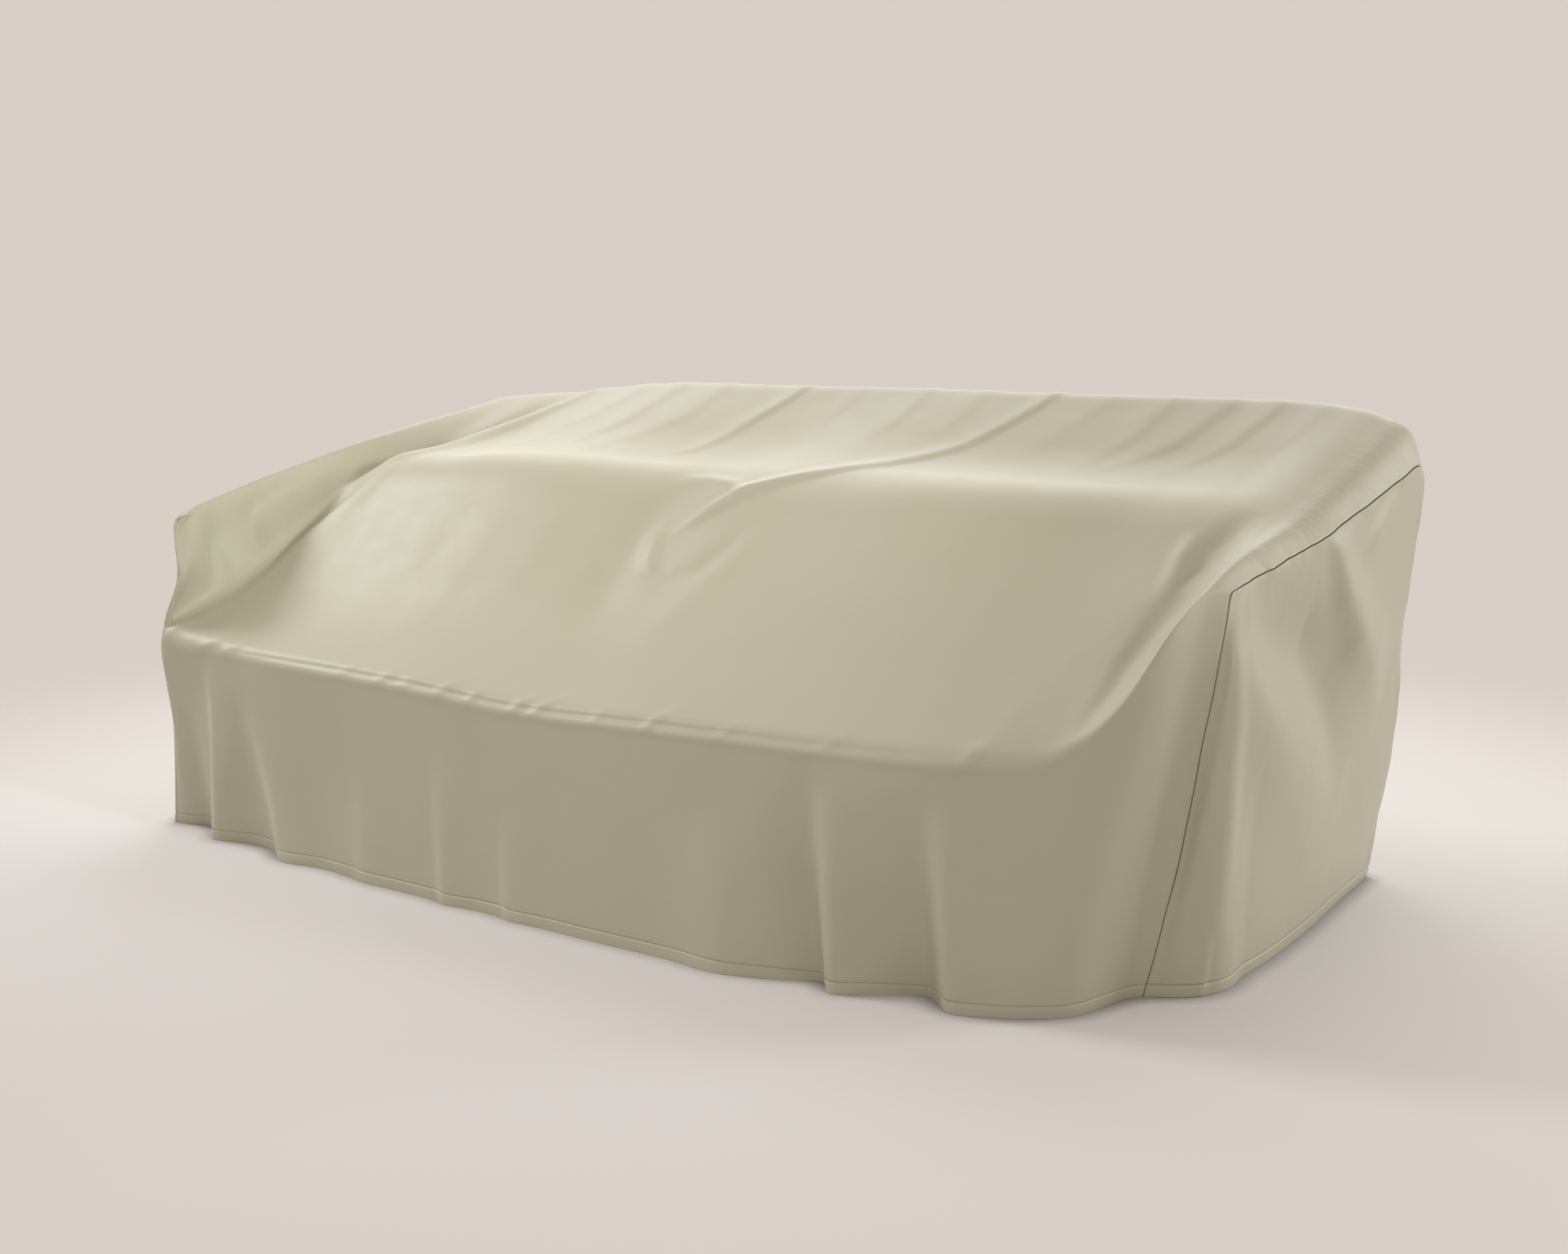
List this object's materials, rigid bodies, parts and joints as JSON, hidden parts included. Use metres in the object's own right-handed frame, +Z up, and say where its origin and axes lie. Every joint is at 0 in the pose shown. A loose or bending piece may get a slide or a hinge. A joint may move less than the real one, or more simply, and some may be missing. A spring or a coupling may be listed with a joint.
{
  "type": "outdoor sofa cover",
  "caption": "Fitted cloth cover for a deep outdoor sofa with arms and back cushions, hollow and open at the floor, with a sloping seat front, rounded corners and a loose flared hem.",
  "frame": {"origin": "on the floor, under the middle of the cover's bounding box", "axes": "+X along the sofa to the right end as the sitter's front is viewed, +Z up, and the front faces -Y"},
  "size_m": [2.3176, 1.2004, 0.9043],
  "materials": {
    "cover_cloth": "satin-matte coated polyester in warm khaki"
  },
  "bodies": {
    "root": {"main_panel": "cover_cloth", "end_panel_right": "cover_cloth", "end_panel_left": "cover_cloth"}
  },
  "joints": []
}
